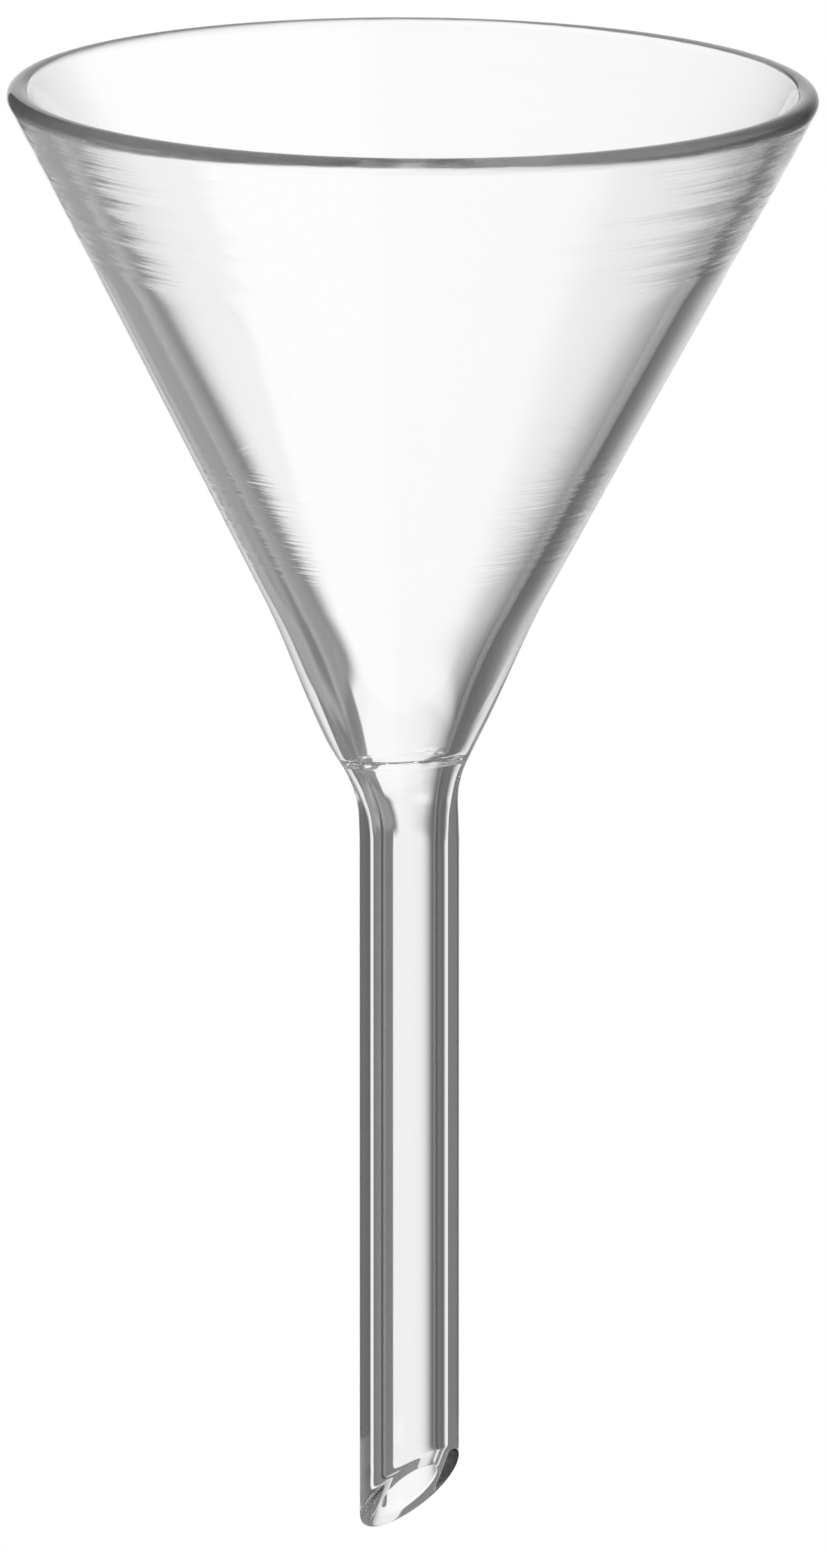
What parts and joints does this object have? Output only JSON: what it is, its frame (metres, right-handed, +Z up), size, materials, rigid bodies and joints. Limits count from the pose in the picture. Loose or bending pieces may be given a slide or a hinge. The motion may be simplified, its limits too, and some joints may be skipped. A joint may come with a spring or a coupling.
{
  "type": "conical glass filter funnel",
  "caption": "Conical laboratory filter funnel in clear glass, with a fire-polished beaded rim, a fused throat and a heavy-wall stem cut off at a slant.",
  "frame": {"origin": "on the stem's axis, where the straight stem begins under the throat", "axes": "+Z up along the axis, from the stem to the open rim; -Z along the stem to its slanted tip"},
  "size_m": [0.075, 0.075, 0.1368],
  "materials": {
    "glass": "clear borosilicate glass, fire polished"
  },
  "bodies": {
    "root": {"funnel": "glass"}
  },
  "joints": []
}
